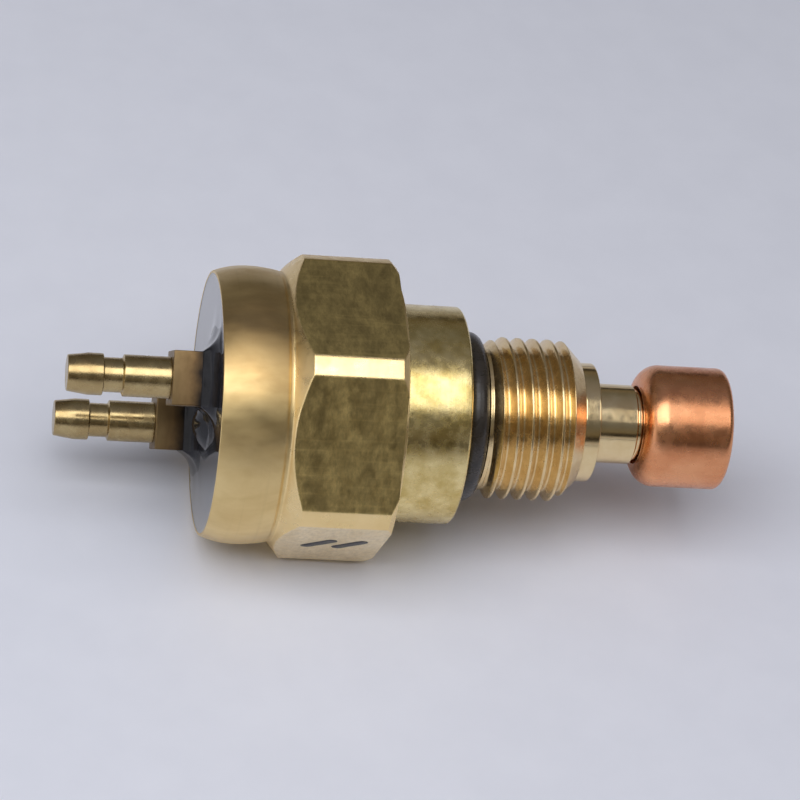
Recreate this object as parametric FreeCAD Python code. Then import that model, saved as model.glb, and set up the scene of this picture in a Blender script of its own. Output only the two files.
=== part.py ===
import FreeCAD, Part
import math
import os

# Screw-in thermal switch with a wax element, modelled in millimetres.
# Origin: centre of the sealing face, where the round shoulder meets the boss it is screwed into.
# +X is the insertion direction, towards the copper bulb. +Z is up, and one flat of the hexagon faces down.
# Turned parts are described as outlines of (x, radius) points, revolved about X.

Vector = FreeCAD.Vector
ORIGIN = Vector(0, 0, 0)
X_AXIS = Vector(1, 0, 0)

# ---- Driving dimensions: brass body ----
HEX_FLATS = 27.0            # across flats, spanner size
HEX_CORNERS = 30.1          # across the turned-off corners
HEX_LEFT = -17.65           # where the hexagon starts, next to the collar
HEX_RIGHT = -6.95           # where the hexagon ends
HEX_LEFT_CHAMFER = 1.6
HEX_RIGHT_CHAMFER = 0.6
WASHER_FACE_R = 13.0
WASHER_FACE_X = -6.6
SHOULDER_R = 10.65
SHOULDER_EDGE = 0.25
COLLAR_END_R = 13.1
COLLAR_R = 13.5             # the collar is turned down from the hexagon's flats and swells a little
COLLAR_WIDEST_X = -21.0
RIM_X = -24.3
RIM_R = 12.85
RIM_ROUND = 0.2
LIP_R = 12.6                # mouth of the collar, flared a little round the resin
LIP_DEPTH = 0.6
CUP_R = 12.4                # bore that holds the terminal base and the potting
LEDGE_X = -16.5
CHAMBER_R = 9.8
CHAMBER_FLOOR_X = -8.0
SPRING_BORE_R = 4.6
SHANK_R = 4.0               # shank of the element guide, pressed into the nose
SHANK_X = 5.5

# ---- Driving dimensions: M16 x 1.5 thread, seal and nose ----
THREAD_PITCH = 1.5
THREAD_MAJOR_R = 7.95
THREAD_DEPTH = 0.92
THREAD_START_X = 2.8
THREAD_END_X = 10.4
THREAD_CREST_X = 3.5        # a crest passes this x ...
THREAD_CREST_ANGLE = 136.0  # ... at this angle from +Y towards +Z
UNDERCUT_R = 7.0
NOSE_X = 12.1
O_RING_SECTION = 2.4
O_RING_GROOVE_R = 5.9
O_RING_GROOVE_END = 2.45
O_RING_RECESS = 0.1         # the O-ring starts in a shallow recess in the sealing face
O_RING_RECESS_R = 8.45

# ---- Driving dimensions: wax element ----
FLANGE_R = 5.85
FLANGE_END = 13.7
NECK_R = 3.9
NECK_END = 17.85
NECK_GROOVE_R = 3.4
NECK_GROOVE_END = 18.0
CRIMP_NECK_R = 3.55
CUP_OUTER_R = 6.02
CUP_WALL = 0.7
CUP_LIP_X = 18.4
CUP_SHOULDER = 2.15         # outer radius of the cup's rolled-in shoulder
CUP_END_X = 27.1
CUP_CORNER = 0.7
ELEMENT_FACE_X = 20.9       # where the guide ends and the diaphragm lies
DIAPHRAGM_THICKNESS = 0.6
PISTON_R = 1.5
PLUG_LENGTH = 2.0
BACKUP_THICKNESS = 0.5
PISTON_LEFT_X = 3.62
RUNNING_CLEARANCE = 0.05
FACE_GAP = 0.02             # between the faces of parts that push each other

# ---- Driving dimensions: plunger, springs and contacts ----
PLUNGER_FLANGE_R = 3.9
PLUNGER_FLANGE_X = 2.2
PLUNGER_FLANGE_END = 3.2
CALIBRATION_R = 2.4
CALIBRATION_END = 3.6
STEM_R = 2.0
STEM_SHOULDER_X = -9.4
FRONT_STEM_R = 1.2
FRONT_STEM_END = -14.2
CLIP_GROOVE_R = 0.9
CLIP_LEFT_X = -13.6
CLIP_THICKNESS = 0.4
CLIP_R = 2.2
CLIP_MOUTH = 1.5
SEAT_LEFT_X = -8.8
SEAT_RIGHT_X = -5.0
SEAT_FLANGE_R = 6.5
RETURN_WIRE_R = 0.25
RETURN_COIL_R = 3.2
RETURN_TURNS = 6
OVERTRAVEL_WIRE_R = 0.17
OVERTRAVEL_COIL_R = 1.65
OVERTRAVEL_TURNS = 4
BRIDGE_LEFT_X = -13.18
BRIDGE_THICKNESS = 0.5
BRIDGE_HALF_LENGTH = 8.3
BRIDGE_WIDTH = 4.0
CONTACT_R = 1.5
CONTACT_THICKNESS = 0.8
CONTACT_TRAVEL = 1.6        # plunger stroke that closes the contacts
LINER_WALL = 0.7
LINER_FLOOR = 0.6

# ---- Driving dimensions: terminals ----
BASE_RIGHT_X = -17.0
BASE_LEFT_X = -20.5
PIN_CIRCLE_R = 6.7
PIN_ANGLE = 116.6           # direction of the upper pin, from +Y towards +Z
RIVET_R = 1.1
RIVET_HEAD_R = 1.7
RIVET_HEAD_X = -16.4
RIVET_LEFT_X = -22.5
POST_SIZE = 5.2
POST_EDGE = 0.5
POST_ANGLE = 135.0          # one face of each block looks this way, from +Y towards +Z
POST_LEFT_X = -28.6
PIN_R = 2.0
PIN_TAIL_R = 1.2
PIN_TAIL_END = -25.6
PIN_GROOVE_R = 1.65
PIN_GROOVE_START = -33.2
PIN_GROOVE_END = -35.0
PIN_HEAD_END = -36.4
PIN_TIP_R = 1.75
PIN_TIP_X = -38.4
PIN_EDGE = 0.2
POTTING_X = -24.0
MOUND_X = -25.3
MOUND_FOOT_R = 5.2
MOUND_TOP_R = 3.6

# ---- Derived places ----
CUP_SHOULDER_X = CUP_LIP_X + CUP_SHOULDER
CUP_LIP_R = CUP_OUTER_R - CUP_SHOULDER
CUP_INNER_R = CUP_OUTER_R - CUP_WALL
CUP_INNER_END = CUP_END_X - CUP_WALL
DIAPHRAGM_END = ELEMENT_FACE_X + DIAPHRAGM_THICKNESS
GUIDE_BORE_R = PISTON_R + RUNNING_CLEARANCE
SEAT_BORE_R = STEM_R + RUNNING_CLEARANCE
PLUG_LEFT_X = ELEMENT_FACE_X - FACE_GAP - PLUG_LENGTH
BACKUP_LEFT_X = PLUG_LEFT_X - BACKUP_THICKNESS
BRIDGE_RIGHT_X = BRIDGE_LEFT_X + BRIDGE_THICKNESS
BRIDGE_CONTACT_X = BRIDGE_LEFT_X - CONTACT_THICKNESS
FIXED_CONTACT_X = BRIDGE_CONTACT_X - CONTACT_TRAVEL - FACE_GAP
LINER_R = CHAMBER_R - LINER_WALL


def edges_of(outline):
    """Edges through (x, r) points. An entry of two points is an arc: through the first, to the second."""
    edges = []
    here = outline[0]
    for entry in outline[1:]:
        if isinstance(entry[0], tuple):
            middle, there = entry
            arc = Part.Arc(*[Vector(x, 0, r) for x, r in (here, middle, there)])
            edges.append(arc.toShape())
        else:
            there = entry
            edges.append(Part.makeLine(Vector(here[0], 0, here[1]), Vector(there[0], 0, there[1])))
        here = there
    return edges


def turned(outline):
    """Solid of revolution about X. The outline closes itself with a straight line."""
    wire = Part.Wire(edges_of(outline + [outline[0]]))
    return Part.Face(wire).revolve(ORIGIN, X_AXIS, 360)


def rod(x0, x1, radius):
    return Part.makeCylinder(radius, x1 - x0, Vector(x0, 0, 0), X_AXIS)


def ring(x0, x1, inner, outer):
    return rod(x0, x1, outer).cut(rod(x0 - 1, x1 + 1, inner))


def corner_arc(centre, radius, start, end):
    """Middle and end points of a round corner between two angles, in degrees from +x towards +r."""
    points = []
    for angle in ((start + end) / 2, end):
        turn = math.radians(angle)
        points.append((centre[0] + radius * math.cos(turn), centre[1] + radius * math.sin(turn)))
    return tuple(points)


def about_x(shape, degrees):
    """Turn a shape about X: positive turns +Y towards +Z."""
    shape = shape.copy()
    shape.rotate(ORIGIN, X_AXIS, degrees)
    return shape


def radial(degrees, distance):
    """Point in the plane x = 0 at an angle from +Y towards +Z."""
    turn = math.radians(degrees)
    return Vector(0, distance * math.cos(turn), distance * math.sin(turn))


def along_x(shape):
    """Turn a shape built along Z so that it lies along X. Its own +X then points to -Z."""
    shape = shape.copy()
    shape.rotate(ORIGIN, Vector(0, 1, 0), 90)
    return shape


def swept_helix(pitch, height, radius, profile_points, round_radius=None):
    """Solid swept along a right-hand helix about Z: a polygon of (radius, z) points, or a round wire."""
    helix = Part.Wire(Part.makeHelix(pitch, height, radius).Edges)
    if round_radius:
        rise = math.atan2(pitch, 2 * math.pi * radius)
        normal = Vector(0, math.cos(rise), math.sin(rise))
        section = Part.Wire(Part.makeCircle(round_radius, Vector(radius, 0, 0), normal))
    else:
        corners = [Vector(r, 0, z) for r, z in profile_points]
        section = Part.makePolygon(corners + corners[:1])
    return helix.makePipeShell([section], True, True)


def coil_spring(x0, x1, coil_r, wire_r, turns):
    """Compression spring about X that just touches the faces at x0 and x1."""
    length = x1 - x0 - 2 * wire_r - 2 * FACE_GAP
    coil = along_x(swept_helix(length / turns, length, coil_r, None, wire_r))
    coil.translate(Vector(x0 + wire_r + FACE_GAP, 0, 0))
    return coil


def thread_groove():
    """The V groove of the thread, long enough to run out of the nose and into the undercut."""
    root_r = THREAD_MAJOR_R - THREAD_DEPTH
    root_half = THREAD_PITCH / 8
    outside_r = THREAD_MAJOR_R + 0.15
    outside_half = root_half + (outside_r - root_r) * math.tan(math.radians(30))
    profile = [(root_r, -root_half), (outside_r, -outside_half), (outside_r, outside_half), (root_r, root_half)]
    start_angle = 270.0
    crest_x = THREAD_CREST_X + THREAD_PITCH * (start_angle - THREAD_CREST_ANGLE) / 360
    start_x = crest_x - 1.5 * THREAD_PITCH
    length = NOSE_X + THREAD_PITCH - start_x
    groove = along_x(swept_helix(THREAD_PITCH, length, root_r, profile))
    groove.translate(Vector(start_x, 0, 0))
    return groove


def hexagon(x0, x1):
    """Hexagonal bar along X with flats up and down."""
    corner_r = HEX_FLATS / 2 / math.cos(math.radians(30))
    corners = [radial(60 * i, corner_r) + Vector(x0, 0, 0) for i in range(7)]
    return Part.Face(Part.makePolygon(corners)).extrude(Vector(x1 - x0, 0, 0))


def make_body():
    hex_blank = turned([
        (HEX_LEFT, 0),
        (HEX_LEFT, HEX_CORNERS / 2 - HEX_LEFT_CHAMFER),
        (HEX_LEFT + HEX_LEFT_CHAMFER, HEX_CORNERS / 2),
        (HEX_RIGHT - HEX_RIGHT_CHAMFER, HEX_CORNERS / 2),
        (HEX_RIGHT, HEX_CORNERS / 2 - HEX_RIGHT_CHAMFER),
        (HEX_RIGHT, 0),
    ]).common(hexagon(HEX_LEFT - 1, HEX_RIGHT + 1))
    collar = turned([
        (RIM_X, 0),
        (RIM_X, RIM_R - RIM_ROUND),
        corner_arc((RIM_X + RIM_ROUND, RIM_R - RIM_ROUND), RIM_ROUND, 180, 90),
        ((COLLAR_WIDEST_X, COLLAR_R), (HEX_LEFT, COLLAR_END_R)),
        (HEX_LEFT, 0),
    ])
    nose = turned([
        (HEX_RIGHT, 0),
        (HEX_RIGHT, WASHER_FACE_R),
        (WASHER_FACE_X, WASHER_FACE_R),
        (WASHER_FACE_X, SHOULDER_R),
        (-SHOULDER_EDGE, SHOULDER_R),
        (0, SHOULDER_R - SHOULDER_EDGE),
        (0, O_RING_RECESS_R),
        (-O_RING_RECESS, O_RING_RECESS_R),
        (-O_RING_RECESS, O_RING_GROOVE_R),
        (O_RING_GROOVE_END, O_RING_GROOVE_R),
        (O_RING_GROOVE_END, UNDERCUT_R),
        (THREAD_START_X, UNDERCUT_R),
        (THREAD_START_X + THREAD_MAJOR_R - UNDERCUT_R, THREAD_MAJOR_R),
        (THREAD_END_X, THREAD_MAJOR_R),
        (NOSE_X, THREAD_MAJOR_R - (NOSE_X - THREAD_END_X)),
        (NOSE_X, 0),
    ])
    cavity = turned([
        (RIM_X - 1, 0),
        (RIM_X - 1, LIP_R),
        (RIM_X, LIP_R),
        (RIM_X + LIP_DEPTH, CUP_R),
        (LEDGE_X, CUP_R),
        (LEDGE_X, CHAMBER_R),
        (CHAMBER_FLOOR_X, CHAMBER_R),
        (CHAMBER_FLOOR_X, SPRING_BORE_R),
        (SHANK_X, SPRING_BORE_R),
        (SHANK_X, SHANK_R),
        (NOSE_X + 1, SHANK_R),
        (NOSE_X + 1, 0),
    ])
    return hex_blank.fuse([collar, nose]).removeSplitter().cut(cavity).cut(thread_groove())


def make_o_ring():
    section_r = O_RING_SECTION / 2
    centre = Vector(section_r - O_RING_RECESS, 0, 0)
    return Part.makeTorus(O_RING_GROOVE_R + section_r, section_r, centre, X_AXIS)


def cup_shoulder_arc(offset):
    """Round shoulder of the sensing cup, from its lip to its wall, at an offset inside the outer skin."""
    return corner_arc((CUP_SHOULDER_X, CUP_LIP_R), CUP_SHOULDER - offset, 180, 90)


def make_element_guide():
    """Guide that holds the piston: shank, stop flange, neck and the round flange inside the cup."""
    outside = turned([
        (SHANK_X, 0),
        (SHANK_X, SHANK_R),
        (NOSE_X, SHANK_R),
        (NOSE_X, FLANGE_R),
        (FLANGE_END, FLANGE_R),
        (FLANGE_END, NECK_R),
        (NECK_END, NECK_R),
        (NECK_END, NECK_GROOVE_R),
        (NECK_GROOVE_END, NECK_GROOVE_R),
        (NECK_GROOVE_END, CRIMP_NECK_R),
        (CUP_LIP_X + CUP_WALL, CRIMP_NECK_R),
        (CUP_LIP_X + CUP_WALL, CUP_LIP_R),
        cup_shoulder_arc(CUP_WALL),
        (ELEMENT_FACE_X, CUP_INNER_R),
        (ELEMENT_FACE_X, 0),
    ])
    return outside.cut(rod(SHANK_X - 1, ELEMENT_FACE_X + 1, GUIDE_BORE_R))


def make_sensing_cup():
    return turned([
        (CUP_LIP_X, CUP_LIP_R),
        cup_shoulder_arc(0),
        (CUP_END_X - CUP_CORNER, CUP_OUTER_R),
        corner_arc((CUP_END_X - CUP_CORNER, CUP_OUTER_R - CUP_CORNER), CUP_CORNER, 90, 0),
        (CUP_END_X, 0),
        (CUP_INNER_END, 0),
        (CUP_INNER_END, CUP_INNER_R),
        (CUP_SHOULDER_X, CUP_INNER_R),
        corner_arc((CUP_SHOULDER_X, CUP_LIP_R), CUP_SHOULDER - CUP_WALL, 90, 180),
    ])


def make_plunger():
    return turned([
        (PLUNGER_FLANGE_END, 0),
        (PLUNGER_FLANGE_END, PLUNGER_FLANGE_R),
        (PLUNGER_FLANGE_X, PLUNGER_FLANGE_R),
        (PLUNGER_FLANGE_X, STEM_R),
        (STEM_SHOULDER_X, STEM_R),
        (STEM_SHOULDER_X, FRONT_STEM_R),
        (CLIP_LEFT_X + CLIP_THICKNESS, FRONT_STEM_R),
        (CLIP_LEFT_X + CLIP_THICKNESS, CLIP_GROOVE_R),
        (CLIP_LEFT_X, CLIP_GROOVE_R),
        (CLIP_LEFT_X, FRONT_STEM_R),
        (FRONT_STEM_END, FRONT_STEM_R),
        (FRONT_STEM_END, 0),
    ])


def make_e_clip():
    """Open retaining clip in the plunger's groove, which keeps the bridge on its stem."""
    clip = ring(CLIP_LEFT_X, CLIP_LEFT_X + CLIP_THICKNESS, CLIP_GROOVE_R, CLIP_R)
    mouth = Part.makeBox(2 * CLIP_THICKNESS, CLIP_R + 1, CLIP_MOUTH)
    mouth.translate(Vector(CLIP_LEFT_X - CLIP_THICKNESS / 2, 0, -CLIP_MOUTH / 2))
    return clip.cut(mouth)


def make_spring_seat():
    """Flanged bush pressed into the spring bore. It guides the plunger's stem and backs the return spring."""
    outside = rod(SEAT_LEFT_X, CHAMBER_FLOOR_X, SEAT_FLANGE_R).fuse(rod(SEAT_LEFT_X, SEAT_RIGHT_X, SPRING_BORE_R))
    return outside.removeSplitter().cut(rod(SEAT_LEFT_X - 1, SEAT_RIGHT_X + 1, SEAT_BORE_R))


def make_contact_bridge():
    """Flat strip that joins the two fixed contacts, with a hole for the plunger's front stem."""
    strip = Part.makeBox(BRIDGE_THICKNESS, 2 * BRIDGE_HALF_LENGTH, BRIDGE_WIDTH)
    strip.translate(Vector(BRIDGE_LEFT_X, -BRIDGE_HALF_LENGTH, -BRIDGE_WIDTH / 2))
    hole = rod(BRIDGE_LEFT_X - 1, BRIDGE_RIGHT_X + 1, FRONT_STEM_R + RUNNING_CLEARANCE)
    return about_x(strip.cut(hole), PIN_ANGLE)


def at_both_pins(shape):
    """The same piece on the axis of each pin, as one group of separate solids."""
    copies = []
    for side in (1, -1):
        copy = shape.copy()
        copy.translate(radial(PIN_ANGLE, side * PIN_CIRCLE_R))
        copies.append(copy)
    return Part.makeCompound(copies)


def make_chamber_liner():
    """Insulating cup that lines the contact chamber."""
    tube = ring(LEDGE_X, CHAMBER_FLOOR_X, LINER_R, CHAMBER_R)
    floor = ring(CHAMBER_FLOOR_X - LINER_FLOOR, CHAMBER_FLOOR_X, SEAT_FLANGE_R, LINER_R)
    return tube.fuse(floor).removeSplitter()


def make_terminal_base():
    holes = at_both_pins(rod(BASE_LEFT_X - 1, BASE_RIGHT_X + 1, RIVET_R))
    return rod(BASE_LEFT_X, BASE_RIGHT_X, CUP_R).cut(holes)


def make_rivet():
    """Contact rivet: its head lies in the chamber, and its shank passes the base into a terminal block."""
    return rod(RIVET_LEFT_X, BASE_RIGHT_X, RIVET_R).fuse(rod(BASE_RIGHT_X, RIVET_HEAD_X, RIVET_HEAD_R)).removeSplitter()


def make_block():
    """Square terminal block on the X axis, with bevelled front edges and no holes."""
    half = POST_SIZE / 2
    block = Part.makeBox(BASE_LEFT_X - POST_LEFT_X, POST_SIZE, POST_SIZE, Vector(POST_LEFT_X, -half, -half))
    front = [edge for edge in block.Edges if edge.BoundBox.XMax < POST_LEFT_X + FACE_GAP]
    return about_x(block.makeChamfer(POST_EDGE, front), POST_ANGLE)


def make_post(side):
    """Terminal block standing on the base, drilled for its rivet and its pin. Side is 1 for the upper pin."""
    rivet_hole = rod(RIVET_LEFT_X, BASE_LEFT_X + 1, RIVET_R)
    tail_hole = rod(POST_LEFT_X - 1, PIN_TAIL_END, PIN_TAIL_R)
    post = make_block().cut([rivet_hole, tail_hole])
    post.translate(radial(PIN_ANGLE, side * PIN_CIRCLE_R))
    return post


def make_bullet_pin(side):
    """Bullet terminal with a locking groove and a tapered nose. Its tail is pressed into the block."""
    pin = turned([
        (PIN_TAIL_END, 0),
        (PIN_TAIL_END, PIN_TAIL_R),
        (POST_LEFT_X, PIN_TAIL_R),
        (POST_LEFT_X, PIN_R),
        (PIN_GROOVE_START + PIN_EDGE, PIN_R),
        (PIN_GROOVE_START, PIN_GROOVE_R),
        (PIN_GROOVE_END, PIN_GROOVE_R),
        (PIN_GROOVE_END - PIN_EDGE, PIN_R),
        (PIN_HEAD_END, PIN_R),
        (PIN_TIP_X + PIN_EDGE, PIN_TIP_R),
        (PIN_TIP_X, PIN_TIP_R - PIN_EDGE),
        (PIN_TIP_X, 0),
    ])
    pin.translate(radial(PIN_ANGLE, side * PIN_CIRCLE_R))
    return pin


def make_potting():
    """Resin that seals the collar, with a mound round the foot of each terminal block."""
    fill = turned([
        (POTTING_X, 0),
        (RIM_X, LIP_R),
        (RIM_X + LIP_DEPTH, CUP_R),
        (BASE_LEFT_X, CUP_R),
        (BASE_LEFT_X, 0),
    ])
    mound = Part.makeCone(MOUND_TOP_R, MOUND_FOOT_R, BASE_LEFT_X - MOUND_X, Vector(MOUND_X, 0, 0), X_AXIS)
    resin = fill.fuse(at_both_pins(mound).Solids).removeSplitter()
    return resin.cut(at_both_pins(make_block()))


def contact_disc(left_x):
    return rod(left_x, left_x + CONTACT_THICKNESS, CONTACT_R)


PARTS = {
    "body": make_body(),
    "o_ring": make_o_ring(),
    "element_guide": make_element_guide(),
    "sensing_cup": make_sensing_cup(),
    "wax_charge": rod(DIAPHRAGM_END, CUP_INNER_END, CUP_INNER_R),
    "diaphragm": rod(ELEMENT_FACE_X, DIAPHRAGM_END, CUP_INNER_R),
    "rubber_plug": rod(PLUG_LEFT_X, PLUG_LEFT_X + PLUG_LENGTH, PISTON_R),
    "backup_disc": rod(BACKUP_LEFT_X, PLUG_LEFT_X, PISTON_R),
    "piston": rod(PISTON_LEFT_X, BACKUP_LEFT_X, PISTON_R),
    "calibration_disc": rod(PLUNGER_FLANGE_END, CALIBRATION_END, CALIBRATION_R),
    "plunger": make_plunger(),
    "e_clip": make_e_clip(),
    "return_spring": coil_spring(SEAT_RIGHT_X, PLUNGER_FLANGE_X, RETURN_COIL_R, RETURN_WIRE_R, RETURN_TURNS),
    "spring_seat": make_spring_seat(),
    "overtravel_spring": coil_spring(
        BRIDGE_RIGHT_X, STEM_SHOULDER_X, OVERTRAVEL_COIL_R, OVERTRAVEL_WIRE_R, OVERTRAVEL_TURNS),
    "contact_bridge": make_contact_bridge(),
    "bridge_contacts": at_both_pins(contact_disc(BRIDGE_CONTACT_X)),
    "fixed_contacts": at_both_pins(rod(RIVET_HEAD_X, FIXED_CONTACT_X, CONTACT_R)),
    "terminal_rivets": at_both_pins(make_rivet()),
    "chamber_liner": make_chamber_liner(),
    "base_gasket": ring(BASE_RIGHT_X, LEDGE_X, CHAMBER_R, CUP_R),
    "terminal_base": make_terminal_base(),
    "terminal_post_front": make_post(1),
    "terminal_post_rear": make_post(-1),
    "bullet_pin_front": make_bullet_pin(1),
    "bullet_pin_rear": make_bullet_pin(-1),
    "potting": make_potting(),
}

os.makedirs("parts", exist_ok=True)
for name, shape in PARTS.items():
    shape.exportStep(f"parts/{name}.step")
    box = shape.BoundBox
    print(f"{name:20s} valid {shape.isValid()}  solids {len(shape.Solids)}  volume {shape.Volume:9.2f} mm3"
          f"  x {box.XMin:.2f} {box.XMax:.2f}")
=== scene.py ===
import math

import bpy
import bmesh
import numpy as np
from mathutils import Matrix, Vector, noise


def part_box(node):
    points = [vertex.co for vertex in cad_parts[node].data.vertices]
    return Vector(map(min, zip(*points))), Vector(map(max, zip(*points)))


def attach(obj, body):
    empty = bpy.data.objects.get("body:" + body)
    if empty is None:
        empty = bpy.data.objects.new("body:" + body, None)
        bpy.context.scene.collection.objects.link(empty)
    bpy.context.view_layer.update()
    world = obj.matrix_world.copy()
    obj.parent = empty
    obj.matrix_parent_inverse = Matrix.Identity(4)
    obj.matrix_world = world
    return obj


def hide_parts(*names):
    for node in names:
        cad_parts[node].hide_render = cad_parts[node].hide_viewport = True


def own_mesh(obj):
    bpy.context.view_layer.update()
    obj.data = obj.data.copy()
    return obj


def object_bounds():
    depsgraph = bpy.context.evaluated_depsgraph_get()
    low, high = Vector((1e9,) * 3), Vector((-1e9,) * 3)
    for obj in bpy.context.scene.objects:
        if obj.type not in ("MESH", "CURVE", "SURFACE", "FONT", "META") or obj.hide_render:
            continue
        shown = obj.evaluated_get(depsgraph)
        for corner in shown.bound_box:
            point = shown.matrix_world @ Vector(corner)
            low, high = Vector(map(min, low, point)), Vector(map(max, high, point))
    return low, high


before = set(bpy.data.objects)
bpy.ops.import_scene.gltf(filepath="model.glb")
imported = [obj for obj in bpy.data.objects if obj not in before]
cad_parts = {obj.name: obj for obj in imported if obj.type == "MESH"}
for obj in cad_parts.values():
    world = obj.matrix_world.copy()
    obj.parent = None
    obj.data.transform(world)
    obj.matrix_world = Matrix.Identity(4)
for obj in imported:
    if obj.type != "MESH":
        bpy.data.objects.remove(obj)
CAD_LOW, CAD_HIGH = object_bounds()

# Screw-in thermal switch: brass body, copper bulb and two bullet terminals in black resin.
# Outlines are (x, radius) points in millimetres about the switch's axis, which is the row's X axis.
# Angles round that axis are measured from +Y towards +Z, as they are in the design.
MM = 0.001


def node_mm(name):
    """Lowest and highest corner of a CAD node, in millimetres."""
    low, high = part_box(name)
    return low / MM, high / MM


def node_centre(name):
    """Middle of a CAD node across the axis, as (y, z) in millimetres."""
    low, high = node_mm(name)
    return (low.y + high.y) / 2, (low.z + high.z) / 2


# ---- Sizes taken from the frame ----
BODY_LOW, BODY_HIGH = node_mm("body")
RIM_X = BODY_LOW.x
NOSE_X = BODY_HIGH.x
FLAT_R = BODY_HIGH.z
CORNER_R = BODY_HIGH.y
CUP_LOW, CUP_HIGH = node_mm("sensing_cup")
CUP_R = CUP_HIGH.y
RING_LOW, RING_HIGH = node_mm("o_ring")
RING_SECTION_R = (RING_HIGH.x - RING_LOW.x) / 2
RING_CENTRE_X = (RING_HIGH.x + RING_LOW.x) / 2
RING_R = RING_HIGH.y - RING_SECTION_R
ENDS = ("front", "rear")
PIN_CENTRES = [node_centre("bullet_pin_" + end) for end in ENDS]
FLOOR_GAP = 0.02              # keeps the lowest flat off the floor, so the two faces don't flicker
FLOOR_Z = CAD_LOW.z / MM - FLOOR_GAP

# ---- Collar, from its mouth to the hexagon ----
RIM_R = 12.85
LIP_R = 12.6                  # the mouth, flared a little round the resin
CUP_BORE_R = 12.4
CUP_FLOOR_X = -16.5
COLLAR_R = 13.5
COLLAR_WIDEST_X = -21.0
COLLAR_END_R = 13.1
COLLAR_STEPS = 24

# ---- Hexagon and shoulder ----
HEX_LEFT = -17.65
HEX_RIGHT = -6.95
HEX_LEFT_TAPER = 1.6          # length of the cone turned on the corners, on the collar's side
HEX_RIGHT_CHAMFER = 0.6
HEX_EDGE_BLEND = 0.09
WASHER_X = -6.6
WASHER_R = 13.0
SHOULDER_R = 10.65
BORE_R = 9.8

# ---- O-ring groove, thread and nose ----
RECESS_R = 8.45
RECESS_X = -0.1
GROOVE_R = 5.9
GROOVE_END = 2.45
UNDERCUT_R = 7.0
THREAD_START = 2.8
THREAD_END = 10.4
THREAD_R = 7.95
THREAD_DEPTH = 0.92
PITCH = 1.5
CREST_X = 3.5
CREST_ANGLE = math.radians(136)
INSIDE_R = 6.2                # nothing nearer to the axis than this belongs to the thread
THREAD_STEP = 0.055           # longest part of the outline where the thread is cut
NOSE_BORE_R = 4.05
SHANK_BORE_R = 4.6
SHANK_END_X = 5.5

# ---- Terminals and resin ----
POST_ANGLE = math.radians(135)
BLOCK_HALF = 2.6
POTTING_X = -24.24
POTTING_BACK_X = -20.5
MENISCUS_HEIGHT = 1.65
MENISCUS_REACH = 0.95
DROP_PLACE = (0.6, 2.1)       # along and across the blocks' sides, from the axis
DROP_SIZE = (3.4, 2.5, 1.35)  # two half widths and a height

# ---- Marks on the body, and painted shade on the collar's upper side ----
INK_FLAT = math.radians(210)
STROKE_STARTS = (-14.6, -11.6)
STROKE_RUN = 2.9
STROKE_RISE = 3.0
STROKE_MIDDLE = 0.3
# The collar's upper side, round this angle, is darkened with painted shade that dims the softbox's highlight
# there.
SHADE_ANGLE = math.radians(108)
SHADED_SIDE = Vector((0, math.cos(SHADE_ANGLE), math.sin(SHADE_ANGLE)))


# ======== Camera, light and floor ========

WORLD_LEVEL = (0.50, 0.50, 0.56)
WORLD_TOP = (0.22, 0.22, 0.26)
WORLD_BANDS = (               # height above the horizon, 0 to 1, and colour: the dark band shapes the brass
    (0.09, (0.36, 0.35, 0.37)),
    (0.13, (0.03, 0.026, 0.02)),
    (0.22, (0.025, 0.021, 0.017)),
    (0.34, (0.15, 0.13, 0.10)),
    (0.6, (0.13, 0.13, 0.13)),
)
FLOOR_HALF = 1.6              # metres


def make_camera():
    """Long lens, 44 degrees above the axis and ten degrees towards the terminals."""
    lens_px = 3432.27
    side, down, away = -18.80, 0.280, 331.97
    rise, swing, roll = math.radians(44), math.radians(10.3225), math.radians(2.9679)
    across = Vector((0, -math.cos(rise), math.sin(rise)))
    forward = -(math.cos(swing) * across + math.sin(swing) * Vector((-1, 0, 0)))
    axis = Vector((1, 0, 0))
    level = (axis - axis.dot(forward) * forward).normalized()
    above = level.cross(forward)
    right = math.cos(roll) * level + math.sin(roll) * above
    up = -math.sin(roll) * level + math.cos(roll) * above
    place = (Vector((RIM_X, 0, 0)) - side * right + down * up - away * forward) * MM
    data = bpy.data.cameras.new("camera")
    data.sensor_width = 36
    data.lens = lens_px / 800 * data.sensor_width
    data.clip_start = 0.01
    data.clip_end = 20
    camera = bpy.data.objects.new("camera", data)
    turn = Matrix((right, up, -forward)).transposed().to_4x4()
    camera.matrix_world = Matrix.Translation(place) @ turn
    bpy.context.scene.collection.objects.link(camera)
    bpy.context.scene.camera = camera


def area_light(name, place, target, size, power, colour):
    """Rectangular light whose long side stays parallel to the switch's axis."""
    data = bpy.data.lights.new(name, "AREA")
    data.shape = "RECTANGLE"
    data.size, data.size_y = size
    data.energy = power
    data.color = colour
    light = bpy.data.objects.new(name, data)
    back = (Vector(place) - Vector(target)).normalized()
    wide = Vector((1, 0, 0)) - back.x * back
    wide.normalize()
    turn = Matrix((wide, back.cross(wide), back)).transposed().to_4x4()
    light.matrix_world = Matrix.Translation(place) @ turn
    bpy.context.scene.collection.objects.link(light)


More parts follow.
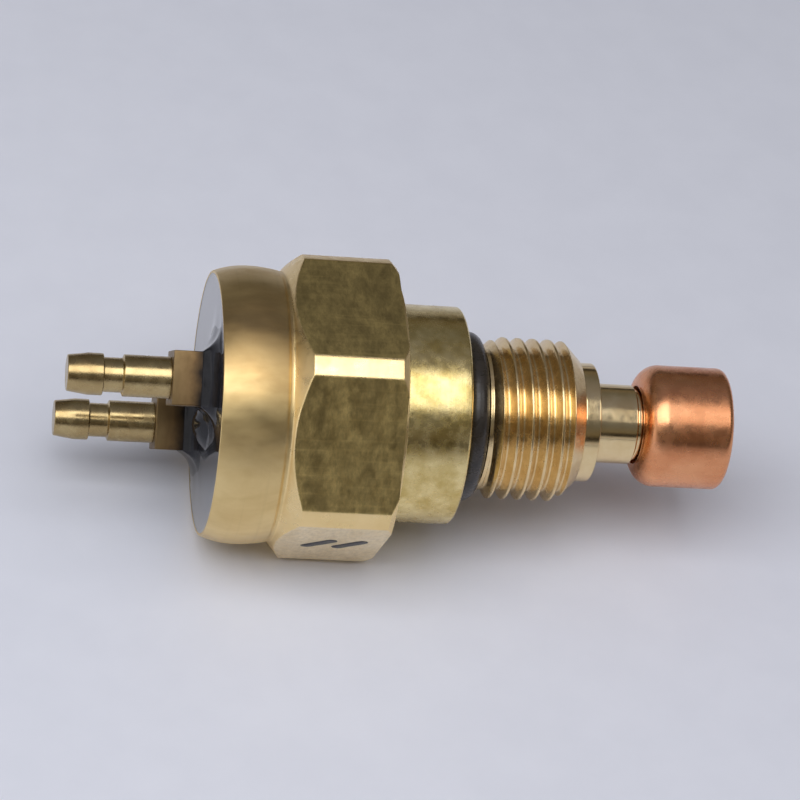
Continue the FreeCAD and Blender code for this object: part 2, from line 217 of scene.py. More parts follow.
def make_light():
    """Two soft boxes side by side above the switch, a low fill at its left, and a dim studio round it."""
    area_light("softbox", (-0.24, -0.14, 0.37), (-0.24, -0.02, 0.0), (0.65, 0.27), 1.55, (0.97, 0.98, 1.0))
    area_light("right_fill", (0.29, -0.14, 0.37), (0.29, -0.02, 0.0), (0.32, 0.27), 0.32, (1.0, 0.98, 0.96))
    area_light("left_fill", (-0.55, -0.10, 0.13), (0, 0, 0), (0.25, 0.5), 0.35, (0.96, 0.97, 1.0))
    world = bpy.data.worlds.new("studio")
    bpy.context.scene.world = world
    world.use_nodes = True
    tree = world.node_tree
    tree.nodes.clear()
    output = tree.nodes.new("ShaderNodeOutputWorld")
    background = tree.nodes.new("ShaderNodeBackground")
    place = tree.nodes.new("ShaderNodeTexCoord")
    split = tree.nodes.new("ShaderNodeSeparateXYZ")
    ramp = tree.nodes.new("ShaderNodeValToRGB")
    tree.links.new(place.outputs["Generated"], split.inputs[0])
    tree.links.new(split.outputs["Z"], ramp.inputs[0])
    stops = ramp.color_ramp.elements
    stops[0].color, stops[1].color = (*WORLD_LEVEL, 1), (*WORLD_TOP, 1)
    for position, colour in WORLD_BANDS:
        stops.new(position).color = (*colour, 1)
    tree.links.new(ramp.outputs[0], background.inputs[0])
    tree.links.new(background.outputs[0], output.inputs[0])
    bpy.context.scene.view_settings.view_transform = "Standard"


def make_floor():
    """Pale paper under the switch."""
    mesh = bpy.data.meshes.new("floor")
    signs = ((-1, -1), (1, -1), (1, 1), (-1, 1))
    corners = [(x * FLOOR_HALF, y * FLOOR_HALF, FLOOR_Z * MM) for x, y in signs]
    mesh.from_pydata(corners, [], [(0, 1, 2, 3)])
    floor = bpy.data.objects.new("floor", mesh)
    bpy.context.scene.collection.objects.link(floor)
    paint = Paint("floor_paper", roughness=0.85, metallic=0)
    paint.colour_between((0.79, 0.81, 0.90), (0.81, 0.83, 0.92), paint.noise(160, 3))
    paint.bump(paint.noise(900, 4), 0.15, 0.00005)
    mesh.materials.append(paint.material)


# ======== Materials ========

class Paint:
    """A Principled material built from procedural layers, in the object's own coordinates (metres)."""

    def __init__(self, name, roughness, metallic, **settings):
        self.material = bpy.data.materials.new(name)
        self.material.use_nodes = True
        self.tree = self.material.node_tree
        self.shader = self.tree.nodes["Principled BSDF"]
        self.shader.inputs["Roughness"].default_value = roughness
        self.shader.inputs["Metallic"].default_value = metallic
        for socket, value in settings.items():
            self.shader.inputs[socket].default_value = value
        self.place = self.node("ShaderNodeTexCoord").outputs["Object"]
        self.height = None

    def node(self, kind, **values):
        made = self.tree.nodes.new(kind)
        for name, value in values.items():
            setattr(made, name, value)
        return made

    def link(self, source, target):
        self.tree.links.new(source, target)

    def noise(self, scale, detail=3, stretch=(1, 1, 1), roughness=0.55, distortion=0.0):
        """Noise with a feature size of about 1 / scale metres, squeezed along each axis by stretch."""
        mapping = self.node("ShaderNodeMapping")
        mapping.inputs["Scale"].default_value = stretch
        self.link(self.place, mapping.inputs["Vector"])
        made = self.node("ShaderNodeTexNoise")
        made.inputs["Scale"].default_value = scale
        made.inputs["Detail"].default_value = detail
        made.inputs["Roughness"].default_value = roughness
        made.inputs["Distortion"].default_value = distortion
        self.link(mapping.outputs[0], made.inputs["Vector"])
        return made.outputs["Fac"]

    def spread(self, value, low, high, out_low=0.0, out_high=1.0):
        """Stretch a 0 to 1 pattern between two levels."""
        made = self.node("ShaderNodeMapRange")
        made.inputs["From Min"].default_value = low
        made.inputs["From Max"].default_value = high
        made.inputs["To Min"].default_value = out_low
        made.inputs["To Max"].default_value = out_high
        self.link(value, made.inputs["Value"])
        return made.outputs["Result"]

    def mix(self, first, second, amount):
        made = self.node("ShaderNodeMix", data_type="RGBA")
        for socket, value in ((made.inputs[6], first), (made.inputs[7], second)):
            if isinstance(value, tuple):
                socket.default_value = (*value, 1)
            else:
                self.link(value, socket)
        self.link(amount, made.inputs["Factor"])
        return made.outputs[2]

    def offset(self, value, pattern, size):
        """Shift a value by a pattern, so that a limit drawn on it becomes ragged."""
        made = self.node("ShaderNodeMath", operation="MULTIPLY_ADD")
        self.link(pattern, made.inputs[0])
        made.inputs[1].default_value = size
        self.link(value, made.inputs[2])
        return made.outputs[0]

    def use_colour(self, colour):
        self.link(colour, self.shader.inputs["Base Color"])

    def colour_between(self, first, second, amount):
        self.use_colour(self.mix(first, second, self.spread(amount, 0.35, 0.65)))

    def rough_between(self, low, high, amount):
        self.link(self.spread(amount, 0.3, 0.7, low, high), self.shader.inputs["Roughness"])

    def bump(self, height, strength, distance):
        made = self.node("ShaderNodeBump")
        made.inputs["Strength"].default_value = strength
        made.inputs["Distance"].default_value = distance
        self.link(height, made.inputs["Height"])
        if self.height is not None:
            self.link(self.height, made.inputs["Normal"])
        self.height = made.outputs["Normal"]
        self.link(self.height, self.shader.inputs["Normal"])


ALONG = (1, 0.02, 0.02)       # rings left by turning: fine along the axis, constant round it
AROUND = (0.06, 1, 1)         # streaks that run along the axis
PAINTED_SHADE_LEVELS = (0.64, 0.58, 0.54)  # how much colour is left where painted shade darkens the collar's upper side


def turned_metal(name, light, dark, rough, marks=0.25, mottle=300):
    """Turned metal: fine tool rings, a little mottling and a slightly uneven polish."""
    paint = Paint(name, roughness=rough, metallic=1)
    paint.colour_between(light, dark, paint.noise(mottle, 4))
    rings = paint.noise(9000, 3, ALONG)
    paint.rough_between(rough * 0.75, rough * 1.35, paint.noise(mottle * 2.5, 4))
    paint.bump(rings, marks, 0.000006)
    paint.bump(paint.noise(1500, 3), marks * 0.6, 0.00001)
    return paint.material


def drawn_metal(name, light, dark, rough):
    """Flats of drawn bar: matte, with streaks along the axis, stains and small dents."""
    paint = Paint(name, roughness=rough, metallic=1)
    stains = paint.noise(420, 6, (1, 0.45, 0.45), 0.7, 0.3)
    grain = paint.noise(2600, 4, (1, 0.5, 0.5), 0.7)
    streaks = paint.noise(1500, 3, AROUND)
    base = paint.mix(light, dark, paint.spread(stains, 0.33, 0.67))
    base = paint.mix(base, tuple(0.7 * c for c in dark), paint.spread(grain, 0.4, 0.75, 0, 0.6))
    bright = tuple(1.15 * c for c in light)
    paint.use_colour(paint.mix(base, bright, paint.spread(streaks, 0.55, 0.8, 0, 0.4)))
    paint.rough_between(rough * 0.85, rough * 1.2, paint.noise(900, 4))
    paint.bump(grain, 0.3, 0.00001)
    paint.bump(streaks, 0.25, 0.000006)
    return paint.material


def tarnished_metal(name):
    """Sawn brass, golden at its free end, browned towards its foot and filmed with resin there."""
    paint = Paint(name, roughness=0.42, metallic=0.8)
    split = paint.node("ShaderNodeSeparateXYZ")
    paint.link(paint.place, split.inputs[0])
    toward_foot = paint.spread(split.outputs["X"], -0.0283, -0.0245)
    grain = paint.noise(700, 4, (1, 0.4, 0.4))
    golden = paint.mix((0.24, 0.160, 0.072), (0.18, 0.116, 0.048), paint.spread(grain, 0.35, 0.65))
    browned = paint.mix((0.21, 0.115, 0.048), (0.14, 0.075, 0.033), paint.spread(grain, 0.35, 0.65))
    worn = paint.mix(golden, browned, toward_foot)
    edge = paint.offset(split.outputs["X"], paint.noise(420, 3), 0.0018)
    paint.use_colour(paint.mix(worn, (0.022, 0.017, 0.014), paint.spread(edge, -0.0261, -0.0249)))
    paint.rough_between(0.34, 0.52, paint.noise(1200, 3))
    paint.bump(paint.noise(2400, 3, (1, 0.15, 0.15)), 0.3, 0.00001)
    return paint.material


def burnished_metal(name, light, dark, rough):
    """The rolled collar: burnished in patches, with blurred highlights, and darkened by painted shade along
    its upper side.
    """
    paint = Paint(name, roughness=rough, metallic=1)
    patches = paint.noise(260, 4, (0.5, 1, 1), 0.6, 0.4)
    rings = paint.noise(1500, 4, ALONG)
    facing = paint.node("ShaderNodeVectorMath", operation="DOT_PRODUCT")
    paint.link(paint.place, facing.inputs[0])
    facing.inputs[1].default_value = SHADED_SIDE / (COLLAR_R * MM)
    # Painted shade: the collar's colours are darkened on its upper side, with a ragged edge, to dim the
    # highlight there.
    ragged = paint.offset(facing.outputs["Value"], paint.noise(330, 4, (0.5, 1, 1)), 0.16)
    light_shaded, dark_shaded = (tuple(a * b for a, b in zip(colour, PAINTED_SHADE_LEVELS)) for colour in (light, dark))
    base = paint.mix(light, dark, paint.spread(patches, 0.3, 0.7))
    shaded_base = paint.mix(light_shaded, dark_shaded, paint.spread(patches, 0.3, 0.7))
    base = paint.mix(base, shaded_base, paint.spread(ragged, 0.90, 1.04))
    paint.use_colour(paint.mix(base, tuple(0.8 * c for c in dark), paint.spread(rings, 0.5, 0.85, 0, 0.45)))
    paint.rough_between(rough * 0.75, rough * 1.25, paint.noise(420, 4, (0.4, 1, 1)))
    paint.bump(paint.noise(170, 2, (1.2, 0.7, 0.7)), 0.5, 0.00005)
    paint.bump(rings, 0.25, 0.000008)
    return paint.material


def moulded(name, light, dark, rough, grain=1200):
    """Plastic, rubber, fibre or wax: a little mottling and a fine grain."""
    paint = Paint(name, roughness=rough, metallic=0)
    paint.colour_between(light, dark, paint.noise(grain, 3))
    paint.bump(paint.noise(grain * 2, 3), 0.3, 0.00002)
    return paint.material


def resin(name, ior, coat):
    """Glossy black resin. Its flat surface has a clear skin, and the creeping edges have none."""
    paint = Paint(name, roughness=0.08, metallic=0, IOR=ior)
    paint.shader.inputs["Coat Weight"].default_value = coat
    paint.shader.inputs["Coat Roughness"].default_value = 0.05
    paint.shader.inputs["Coat IOR"].default_value = 1.5
    paint.colour_between((0.012, 0.012, 0.014), (0.022, 0.022, 0.026), paint.noise(500, 3))
    paint.rough_between(0.06, 0.11, paint.noise(700, 3))
    paint.bump(paint.noise(600, 2), 0.04, 0.000004)
    return paint.material


# ======== Mesh tools ========

WELD = 0.002                  # points nearer than this become one


def rounded(corners, steps=4):
    """Outline through (x, radius, fillet) corners, each corner rounded by its fillet. Ends are kept."""
    points = []
    for i, (x, r, fillet) in enumerate(corners):
        here = np.array((x, r), float)
        if fillet == 0 or i == 0 or i == len(corners) - 1:
            points.append(here)
            continue
        back = np.array(corners[i - 1][:2]) - here
        on = np.array(corners[i + 1][:2]) - here
        back_length, on_length = np.linalg.norm(back), np.linalg.norm(on)
        back, on = back / back_length, on / on_length
        half = math.acos(max(-1, min(1, float(back @ on)))) / 2
        reach = min(fillet / math.tan(half), 0.48 * back_length, 0.48 * on_length)
        radius = reach * math.tan(half)
        middle = (back + on) / np.linalg.norm(back + on)
        centre = here + middle * radius / math.sin(half)
        first = here + back * reach - centre
        last = here + on * reach - centre
        start = math.atan2(first[1], first[0])
        sweep = (math.atan2(last[1], last[0]) - start + math.pi) % (2 * math.pi) - math.pi
        for k in range(steps + 1):
            turn = start + sweep * k / steps
            points.append(centre + radius * np.array((math.cos(turn), math.sin(turn))))
    return points


def arc(middle, radius, start, end, steps):
    """Points of an arc about (x, radius), between two angles in degrees from +x towards +radius."""
    turns = np.radians(np.linspace(start, end, steps + 1))
    return [np.array((middle[0] + radius * math.cos(t), middle[1] + radius * math.sin(t))) for t in turns]


def refined(points, longest, guard=0.07):
    """Add a support point near each end of a straight stretch, and split it so no part is too long."""
    out = []
    for here, there in zip(points, points[1:]):
        out.append(here)
        length = np.linalg.norm(there - here)
        if length < 3 * guard:
            continue
        along = (there - here) / length
        count = max(1, math.ceil((length - 2 * guard) / longest))
        for k in range(count + 1):
            out.append(here + along * (guard + (length - 2 * guard) * k / count))
    out.append(points[-1])
    return out


class Shell:
    """Collects vertices and faces, and becomes one closed mesh object."""

    def __init__(self):
        self.points = []
        self.faces = []
        self.count = 0

    def add(self, points, faces):
        points = np.asarray(points, float)
        self.points.append(points)
        self.faces += [tuple(i + self.count for i in face) for face in faces]
        self.count += len(points)

    def lathe(self, profile, segments, shape=None, centre=(0.0, 0.0)):
        """Revolve an outline about the axis. It runs from pole to pole, or is a closed loop.

        shape(x, r, turn) may change the radius, which is how flats and threads are cut.
        """
        poles = profile[0][1] < 1e-6 and profile[-1][1] < 1e-6
        turns = 2 * math.pi * np.arange(segments) / segments
        body = profile[1:-1] if poles else profile
        rings = []
        for x, r in body:
            radius = shape(x, r, turns) if shape else np.full(segments, r)
            ring = np.column_stack((np.full(segments, x), radius * np.cos(turns), radius * np.sin(turns)))
            rings.append(ring + np.array((0, *centre)))
        points = np.concatenate(rings)
        faces = []
        last = len(rings) if not poles else len(rings) - 1
        for i in range(last):
            j = (i + 1) % len(rings)
            for k in range(segments):
                m = (k + 1) % segments
                faces.append((i * segments + k, i * segments + m, j * segments + m, j * segments + k))
        if poles:
            first_pole, last_pole = len(points), len(points) + 1
            tips = [(profile[0][0], *centre), (profile[-1][0], *centre)]
            points = np.concatenate((points, tips))
            end = (len(rings) - 1) * segments
            for k in range(segments):
                m = (k + 1) % segments
                faces.append((first_pole, m, k))
                faces.append((last_pole, end + k, end + m))
        self.add(points, faces)

    def build(self, name, body, slot, *replaced):
        """Weld the faces into one mesh, which rides on a body and may stand for CAD nodes."""
        mesh = bpy.data.meshes.new(name)
        points = np.concatenate(self.points) * MM
        mesh.from_pydata(points.tolist(), [], self.faces)
        work = bmesh.new()
        work.from_mesh(mesh)
        bmesh.ops.remove_doubles(work, verts=work.verts, dist=WELD * MM)
        bmesh.ops.dissolve_degenerate(work, edges=work.edges, dist=WELD * MM / 4)
        bmesh.ops.recalc_face_normals(work, faces=work.faces)
        for face in work.faces:
            face.smooth = True
        work.to_mesh(mesh)
        work.free()
        piece = bpy.data.objects.new(name, mesh)
        bpy.context.scene.collection.objects.link(piece)
        if replaced:
            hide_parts(*replaced)
        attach(piece, body)
        return piece


def soft_min(first, second, blend):
    """The smaller of two values, rounded off where they cross."""
    share = np.clip(0.5 + 0.5 * (second - first) / blend, 0, 1)
    return second * (1 - share) + first * share - blend * share * (1 - share)


# ======== Pieces ========

def hexagon_radius(turn):
    """Distance from the axis to the hexagon's side at each angle. One flat faces up."""
    off = (turn - math.pi / 2 + math.pi / 6) % (math.pi / 3) - math.pi / 6
    return FLAT_R / np.cos(off)


def cut_flats(x, r, turn):
    if HEX_LEFT - 0.01 <= x <= HEX_RIGHT + 0.01:
        return np.minimum(soft_min(np.full(len(turn), r), hexagon_radius(turn), HEX_EDGE_BLEND), r)
    return np.full(len(turn), r)


def cut_thread(x, r, turn):
    """Right-hand V thread: the distance from the nearest crest gives the depth of the groove."""
    if x < GROOVE_END or r < INSIDE_R:
        return np.full(len(turn), r)
    crest = CREST_X + PITCH * (turn - CREST_ANGLE) / (2 * math.pi)
    off = np.abs((x - crest + PITCH / 2) % PITCH - PITCH / 2)
    flat = PITCH / 16
    depth = np.clip((off - flat) / math.tan(math.radians(30)), 0, None)
    groove = THREAD_R - soft_min(depth, np.full(len(turn), THREAD_DEPTH), 0.22)
    return np.minimum(soft_min(groove, np.full(len(turn), r), 0.05), r)


def make_body():
    """Collar, hexagon, shoulder and threaded nose, in two closed shells that meet inside the metal."""
    shell = Shell()
    rim = rounded([
        (RIM_X + 0.7, CUP_BORE_R, 0),
        (RIM_X, LIP_R, 0.05),
        (RIM_X, RIM_R, 0.12),
        (RIM_X + 0.3, RIM_R + 0.1, 0),
    ], 5)
    start, end = RIM_X + 0.3, HEX_LEFT - 0.4
    collar = []
    for k in range(1, COLLAR_STEPS + 1):
        x = start + (end - start) * k / COLLAR_STEPS
        end_x, end_r = (RIM_X, RIM_R) if x < COLLAR_WIDEST_X else (HEX_LEFT, COLLAR_END_R)
        bulge = (x - COLLAR_WIDEST_X) / (end_x - COLLAR_WIDEST_X)
        collar.append(np.array((x, COLLAR_R - (COLLAR_R - end_r) * bulge ** 2)))
    hexagon = refined(rounded([
        (HEX_LEFT - 0.35, COLLAR_END_R + 0.03, 0),
        (HEX_LEFT, COLLAR_END_R + 0.02, 0.5),
        (HEX_LEFT + HEX_LEFT_TAPER, CORNER_R, 0.2),
        (HEX_RIGHT - HEX_RIGHT_CHAMFER, CORNER_R, 0.15),
        (HEX_RIGHT, CORNER_R - HEX_RIGHT_CHAMFER, 0.08),
        (HEX_RIGHT, WASHER_R, 0.1),
        (WASHER_X, WASHER_R, 0.08),
        (WASHER_X, SHOULDER_R - 1, 0),
    ], 5), 0.1)
    inside = [np.array(p) for p in (
        (-8, BORE_R), (CUP_FLOOR_X, BORE_R), (CUP_FLOOR_X, CUP_BORE_R), (RIM_X + 0.9, CUP_BORE_R))]
    shell.lathe(rim + collar + hexagon + inside, 720, cut_flats)
    nose = rounded([
        (WASHER_X - 0.6, SHANK_BORE_R, 0),
        (WASHER_X - 0.6, SHOULDER_R, 0),
        (WASHER_X, SHOULDER_R, 0),
        (-0.2, SHOULDER_R, 0.2),
        (0, SHOULDER_R - 0.25, 0.2),
        (0, RECESS_R, 0.03),
        (RECESS_X, RECESS_R, 0.03),
        (RECESS_X, GROOVE_R, 0.1),
        (GROOVE_END, GROOVE_R, 0.1),
        (GROOVE_END, UNDERCUT_R, 0.05),
        (THREAD_START, UNDERCUT_R, 0.05),
        (THREAD_START + THREAD_R - UNDERCUT_R, THREAD_R, 0.05),
        (THREAD_END, THREAD_R, 0.1),
        (NOSE_X, THREAD_R - (NOSE_X - THREAD_END), 0.1),
        (NOSE_X, NOSE_BORE_R, 0),
        (SHANK_END_X, NOSE_BORE_R, 0),
        (SHANK_END_X, SHANK_BORE_R, 0),
    ])
    fine = []
    for here, there in zip(nose, nose[1:]):
        fine.append(here)
        threaded = min(here[1], there[1]) > INSIDE_R and min(here[0], there[0]) > 1.9
        longest = THREAD_STEP if threaded else 0.5
        pieces = max(1, math.ceil(np.linalg.norm(there - here) / longest))
        fine += [here + (there - here) * k / pieces for k in range(1, pieces)]
    fine.append(nose[-1])
    shell.lathe(fine, 320, cut_thread)
    finish_body(shell.build("body_turned", "switch_body", "body_brass", "body"))


def finish_body(body):
    """Give each machined surface of the body its own finish."""
    finishes = {
        "collar": burnished_metal("collar_brass", (0.83, 0.64, 0.31), (0.69, 0.50, 0.22), 0.38),
        "flats": drawn_metal("flat_brass", (0.92, 0.70, 0.27), (0.44, 0.33, 0.13), 0.33),
        # Painted reflection: the marked lower front flat gets a much paler brass, standing in for the lit
        # floor it reflects.
        "marked_flat": drawn_metal("floor_reflection_brass", (0.96, 0.82, 0.58), (0.84, 0.68, 0.42), 0.4),
        "bevels": turned_metal("bevel_brass", (0.92, 0.70, 0.35), (0.86, 0.64, 0.29), 0.3),
        "shoulder": turned_metal("shoulder_brass", (0.86, 0.695, 0.33), (0.61, 0.455, 0.16), 0.24, 0.5, 520),
        "thread": turned_metal("thread_brass", (0.88, 0.68, 0.38), (0.76, 0.55, 0.27), 0.22, 0.3, 500),
    }
    for material in finishes.values():
        body.data.materials.append(material)
    order = list(finishes)
    for face in body.data.polygons:
        x = face.center.x / MM
        y, z = face.center.y / MM, face.center.z / MM
        if x < HEX_LEFT - 0.02:
            kind = "collar"
        elif x < WASHER_X - 0.02:
            side = hexagon_radius(np.array([math.atan2(z, y)]))[0]
            on_flat = abs(face.normal.x) < 0.3 and math.hypot(y, z) > side - 0.06 and side < CORNER_R - 0.02
            marked = abs(math.atan2(z, y) - (INK_FLAT - 2 * math.pi)) < math.pi / 6
            kind = ("marked_flat" if marked else "flats") if on_flat else "bevels"
        elif x < 0.01:
            kind = "shoulder"
        else:
            kind = "thread"
        face.material_index = order.index(kind)


def make_o_ring():
    shell = Shell()
    shell.lathe(arc((RING_CENTRE_X, RING_R), RING_SECTION_R, 0, 360, 28)[:-1], 160)
    piece = shell.build("o_ring_seal", "switch_body", "o_ring_rubber", "o_ring")
    paint = Paint("seal_rubber", roughness=0.28, metallic=0)
    paint.colour_between((0.026, 0.021, 0.017), (0.040, 0.032, 0.025), paint.noise(900, 3))
    paint.rough_between(0.2, 0.4, paint.noise(1500, 3))
    paint.bump(paint.noise(2500, 3), 0.2, 0.00001)
    piece.data.materials.append(paint.material)


def make_guide():
    """Stop flange, neck with a fine groove, and the reduced end that enters the cup."""
    left = NOSE_X
    neck_r, flange_r, groove_r, end_r, inner_flange_r = 3.9, 5.85, 3.4, 3.55, 4.8
    shell = Shell()
    shell.lathe(refined(rounded([
        (left - 1.0, 0, 0), (left - 1.0, neck_r, 0), (left, neck_r, 0),
        (left, flange_r, 0.12), (left + 1.6, flange_r, 0.12),
        (left + 1.6, neck_r, 0.15), (left + 5.75, neck_r, 0.06),
        (left + 5.75, groove_r, 0.04), (left + 5.9, groove_r, 0.04),
        (left + 5.9, end_r, 0.04), (left + 7.1, end_r, 0),
        (left + 7.1, inner_flange_r, 0), (left + 8.6, inner_flange_r, 0), (left + 8.6, 0, 0),
    ]), 1.0), 200)
    piece = shell.build("guide_neck", "switch_body", "polished_brass", "element_guide")
    brass = turned_metal("guide_brass", (0.88, 0.70, 0.40), (0.80, 0.60, 0.31), 0.13, 0.15, 500)
    piece.data.materials.append(brass)


def make_cup():
    """Copper bulb with a rolled-in shoulder and a small round at its closed end."""
    lip_x, end_x = CUP_LOW.x, CUP_HIGH.x
    shoulder, wall, corner = 2.15, 0.7, 0.7
    outline = [np.array((end_x, 0.0))]
    outline += arc((end_x - corner, CUP_R - corner), corner, 0, 90, 8)
    outline += arc((lip_x + shoulder, CUP_R - shoulder), shoulder, 90, 180, 18)
    outline += arc((lip_x + shoulder, CUP_R - shoulder), shoulder - wall, 180, 90, 12)
    outline += [np.array((end_x - wall, CUP_R - wall)), np.array((end_x - wall, 0.0))]
    shell = Shell()
    shell.lathe(refined(outline, 0.7, 0.05), 224)
    piece = shell.build("bulb", "switch_body", "copper", "sensing_cup")
    paint = Paint("bulb_copper", roughness=0.27, metallic=1)
    paint.colour_between((0.88, 0.41, 0.20), (0.76, 0.31, 0.14), paint.noise(450, 4, (0.6, 1, 1)))
    paint.rough_between(0.2, 0.34, paint.noise(900, 4))
    paint.bump(paint.noise(1500, 3, (0.5, 1, 1)), 0.3, 0.000012)
    paint.bump(paint.noise(250, 2), 0.35, 0.00003)
    piece.data.materials.append(paint.material)


def make_bullet(end, material):
    """Grooved bullet terminal: tapered tip, waist, and a longer barrel that enters its block."""
    low, high = node_mm("bullet_pin_" + end)
    tip, full = low.x, (high.y - low.y) / 2
    shell = Shell()
    shell.lathe(refined(rounded([
        (tip, 0, 0), (tip, full - 0.28, 0.12), (tip + 2.0, full, 0.12), (tip + 3.4, full, 0.1),
        (tip + 3.4, full - 0.35, 0.08), (tip + 5.2, full - 0.35, 0.08), (tip + 5.35, full, 0.06),
        (tip + 9.8, full, 0.05), (tip + 9.8, 1.2, 0), (high.x, 1.2, 0), (high.x, 0, 0),
    ]), 0.6, 0.04), 96, centre=node_centre("bullet_pin_" + end))
    piece = shell.build("bullet_" + end, "switch_body", "terminal_brass", "bullet_pin_" + end)
    piece.data.materials.append(material)


def make_block(end, material):
    """Square terminal block with broken edges."""
    low, high = node_mm("terminal_post_" + end)
    middle = Vector((0, *node_centre("terminal_post_" + end)))
    size = (high.y - low.y) / math.sqrt(2)
    work = bmesh.new()
    bmesh.ops.create_cube(work, size=1)
    for vertex in work.verts:
        vertex.co.x = low.x if vertex.co.x < 0 else high.x
        vertex.co.y *= size
        vertex.co.z *= size
    bmesh.ops.bevel(work, geom=list(work.edges), offset=0.14, segments=4, profile=0.6, affect="EDGES")
    place = Matrix.Scale(MM, 4) @ Matrix.Translation(middle) @ Matrix.Rotation(POST_ANGLE, 4, "X")
    bmesh.ops.transform(work, matrix=place, verts=work.verts)
    mesh = bpy.data.meshes.new("block_" + end)
    for face in work.faces:
        face.smooth = True
    work.to_mesh(mesh)
    work.free()
    piece = bpy.data.objects.new("block_" + end, mesh)
    bpy.context.scene.collection.objects.link(piece)
    mesh.materials.append(material)
    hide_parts("terminal_post_" + end)
    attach(piece, "switch_body")


def along_block(y, z):
    """Turn (y, z) into distances along the two sides of a block."""
    cos, sin = math.cos(POST_ANGLE), math.sin(POST_ANGLE)
    return y * cos + z * sin, z * cos - y * sin


def resin_height(y, z):
    """How far the resin stands out of its flat surface: a meniscus round each block, and one drop."""
    tallest = 0.0
    for n, (cy, cz) in enumerate(PIN_CENTRES):
        u, v = along_block(y - cy, z - cz)
        away = math.hypot(max(abs(u) - BLOCK_HALF, 0), max(abs(v) - BLOCK_HALF, 0))
        reach = MENISCUS_REACH * (1 + 0.4 * noise.noise(Vector((y * 0.22, z * 0.22, 3.1 + n))))
        tallest = max(tallest, MENISCUS_HEIGHT * math.exp(-((away / reach) ** 1.1)))
    u, v = along_block(y, z)
    across = math.hypot((u - DROP_PLACE[0]) / DROP_SIZE[0], (v - DROP_PLACE[1]) / DROP_SIZE[1])
    drop = DROP_SIZE[2] * max(0.0, 1 - across ** 2)
    return (tallest ** 4 + drop ** 4) ** 0.25


def make_potting():
    """Flat resin surface, level with the collar's mouth, that creeps up round each block."""
    rows, segments = 110, 300
    points = []
    for i in range(1, rows + 1):
        r = LIP_R * (i / rows) ** 0.9
        for k in range(segments):
            angle = 2 * math.pi * k / segments
            y, z = r * math.cos(angle), r * math.sin(angle)
            edge = 0.05 * math.exp(-(LIP_R - r) / 0.15)
            points.append((POTTING_X - edge - resin_height(y, z) * min(1, (LIP_R - r) / 0.8), y, z))
    faces = []
    for i in range(rows - 1):
        for k in range(segments):
            m = (k + 1) % segments
            faces.append((i * segments + k, i * segments + m, (i + 1) * segments + m, (i + 1) * segments + k))
    back = len(points)
    for k in range(segments):
        angle = 2 * math.pi * k / segments
        points.append((POTTING_BACK_X, CUP_BORE_R * math.cos(angle), CUP_BORE_R * math.sin(angle)))
    rim = (rows - 1) * segments
    points += [(POTTING_X - resin_height(0, 0), 0, 0), (POTTING_BACK_X, 0, 0)]
    for k in range(segments):
        m = (k + 1) % segments
        faces.append((rim + k, rim + m, back + m, back + k))
        faces.append((len(points) - 2, m, k))
        faces.append((len(points) - 1, back + k, back + m))
    shell = Shell()
    shell.add(points, faces)
    piece = shell.build("resin_fill", "switch_body", "potting_resin", "potting")
    piece.data.materials.append(resin("black_resin", 1.55, 0.5))
    piece.data.materials.append(resin("black_meniscus", 1.3, 0.0))
    for face in piece.data.polygons:
        if POTTING_X - 1.8 < face.center.x / MM < POTTING_X - 0.12:
            face.material_index = 1


def make_ink():
    """Two short parallel strokes of marker ink on the lower front flat."""
    shell = Shell()
    outward = Vector((0, math.cos(INK_FLAT), math.sin(INK_FLAT)))
    upward = Vector((0, math.sin(INK_FLAT), -math.cos(INK_FLAT)))
    count = 20
    for n, start_x in enumerate(STROKE_STARTS):
        rows = []
        for i in range(count + 1):
            along = i / count
            wobble = 0.05 * noise.noise(Vector((along * 4, 7.3 * n, 0.5)))
            half = 0.6 * (1 - (2 * along - 1) ** 8) ** 0.5 * (1 + 1.2 * wobble) + 0.01
            centre_x = start_x + STROKE_RUN * along + wobble
            height = STROKE_MIDDLE + STROKE_RISE * (along - 0.5)
            for side in (-half, half):
                for depth in (-0.05, 0.02):
                    place = Vector((centre_x + 0.75 * side, 0, 0)) + upward * (height - 0.65 * side)
                    rows.append(place + outward * (FLAT_R + depth))
        faces = []
        for i in range(count):
            a, b = 4 * i, 4 * i + 4
            for p, q in ((0, 1), (1, 3), (3, 2), (2, 0)):
                faces.append((a + p, a + q, b + q, b + p))
        faces += [(0, 2, 3, 1), (4 * count, 4 * count + 1, 4 * count + 3, 4 * count + 2)]
        shell.add([tuple(p) for p in rows], faces)
    piece = shell.build("ink_strokes", "switch_body", "marking_ink")
    paint = Paint("dry_ink", roughness=0.5, metallic=0)
    paint.colour_between((0.035, 0.034, 0.038), (0.09, 0.085, 0.08), paint.noise(1800, 4, (1, 1, 1), 0.7))
    paint.bump(paint.noise(3000, 3), 0.3, 0.00001)
    piece.data.materials.append(paint.material)


def make_spring(node, body, wire_r, turns, material):
    """Coil spring in place of a CAD node."""
    low, high = node_mm(node)
    coil_r = high.z - wire_r
    start, length = low.x + wire_r, high.x - low.x - 2 * wire_r
    steps, sides = 40 * turns, 16
    pitch = length / turns
    slope = Vector((pitch / (2 * math.pi * coil_r), 1)).normalized()
    points = []
    for i in range(steps + 1):
        turn = 2 * math.pi * turns * i / steps
        outward = Vector((0, math.cos(turn), math.sin(turn)))
        across = Vector((slope.y, slope.x * math.sin(turn), -slope.x * math.cos(turn)))
        middle = Vector((start + length * i / steps, 0, 0)) + coil_r * outward
        for k in range(sides):
            side = 2 * math.pi * k / sides
            points.append(tuple(middle + wire_r * (math.cos(side) * outward + math.sin(side) * across)))
    faces = [tuple(range(sides)), tuple(range(steps * sides, (steps + 1) * sides))]
    for i in range(steps):
        for k in range(sides):
            a, b = i * sides + k, i * sides + (k + 1) % sides
            faces.append((a, b, b + sides, a + sides))
    shell = Shell()
    shell.add(points, faces)
    piece = shell.build(node + "_coil", body, "spring_steel", node)
    piece.data.materials.append(material)
    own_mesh(piece)


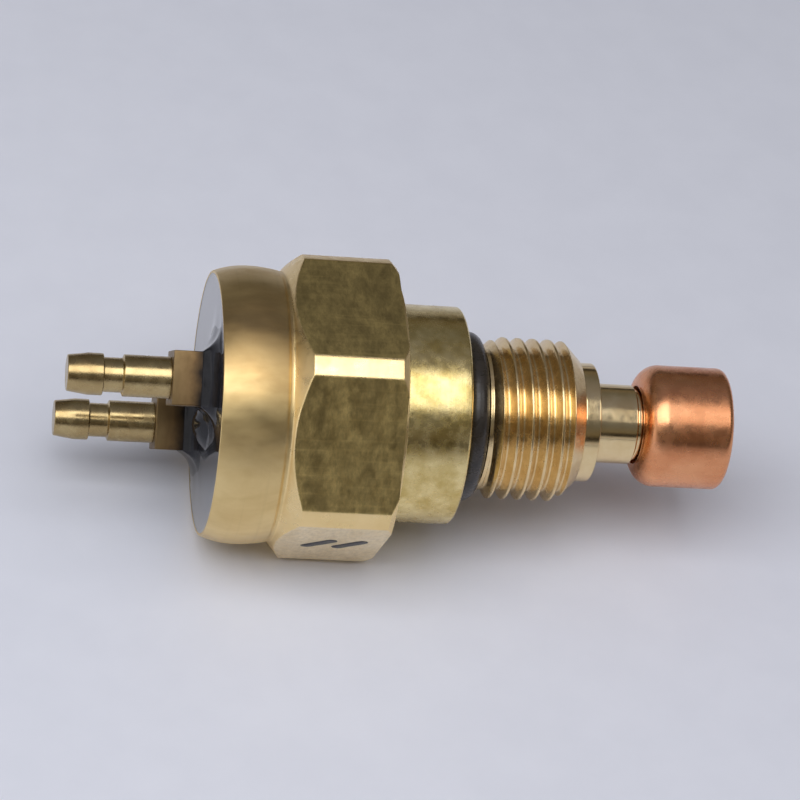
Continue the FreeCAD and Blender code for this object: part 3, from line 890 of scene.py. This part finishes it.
def make_springs():
    """Return spring round the plunger, and the finer one that presses the bridge on its contacts."""
    wire = turned_metal("spring_wire", (0.50, 0.50, 0.52), (0.38, 0.38, 0.40), 0.32)
    make_spring("return_spring", "switch_body", 0.25, 6, wire)
    make_spring("overtravel_spring", "plunger", 0.17, 4, wire)


def make_inner_finishes():
    """Procedural finishes for the parts inside, which keep their designed shapes."""
    steel = turned_metal("ground_steel", (0.62, 0.62, 0.63), (0.50, 0.50, 0.52), 0.25)
    wire = turned_metal("clip_steel", (0.50, 0.50, 0.52), (0.38, 0.38, 0.40), 0.32)
    silver = turned_metal("contact_silver", (0.90, 0.89, 0.86), (0.78, 0.77, 0.74), 0.22)
    brass = turned_metal("inner_brass", (0.84, 0.68, 0.40), (0.70, 0.54, 0.30), 0.28)
    rubber = moulded("inner_rubber", (0.02, 0.02, 0.022), (0.04, 0.04, 0.042), 0.6)
    finishes = {
        "wax_charge": moulded("wax", (0.80, 0.74, 0.52), (0.70, 0.62, 0.40), 0.45, 500),
        "diaphragm": rubber, "rubber_plug": rubber, "backup_disc": steel, "piston": steel,
        "calibration_disc": steel, "e_clip": wire,
        "plunger": moulded("plunger_plastic", (0.82, 0.80, 0.72), (0.74, 0.72, 0.64), 0.4),
        "spring_seat": brass, "contact_bridge": brass, "bridge_contacts": silver, "fixed_contacts": silver,
        "terminal_rivets": brass,
        "chamber_liner": moulded("liner_plastic", (0.70, 0.67, 0.58), (0.60, 0.57, 0.50), 0.5),
        "base_gasket": moulded("gasket_fibre", (0.32, 0.10, 0.06), (0.22, 0.07, 0.05), 0.8, 2500),
        "terminal_base": moulded("phenolic", (0.14, 0.08, 0.045), (0.09, 0.05, 0.03), 0.45),
    }
    for name, material in finishes.items():
        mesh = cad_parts[name].data
        mesh.materials.clear()
        mesh.materials.append(material)


make_camera()
make_light()
make_floor()
make_body()
make_o_ring()
make_guide()
make_cup()
pin_brass = turned_metal("pin_brass", (0.53, 0.41, 0.205), (0.41, 0.295, 0.135), 0.25, 0.08, 400)
block_brass = tarnished_metal("block_finish")
for end in ENDS:
    make_bullet(end, pin_brass)
    make_block(end, block_brass)
make_potting()
make_ink()
make_springs()
make_inner_finishes()
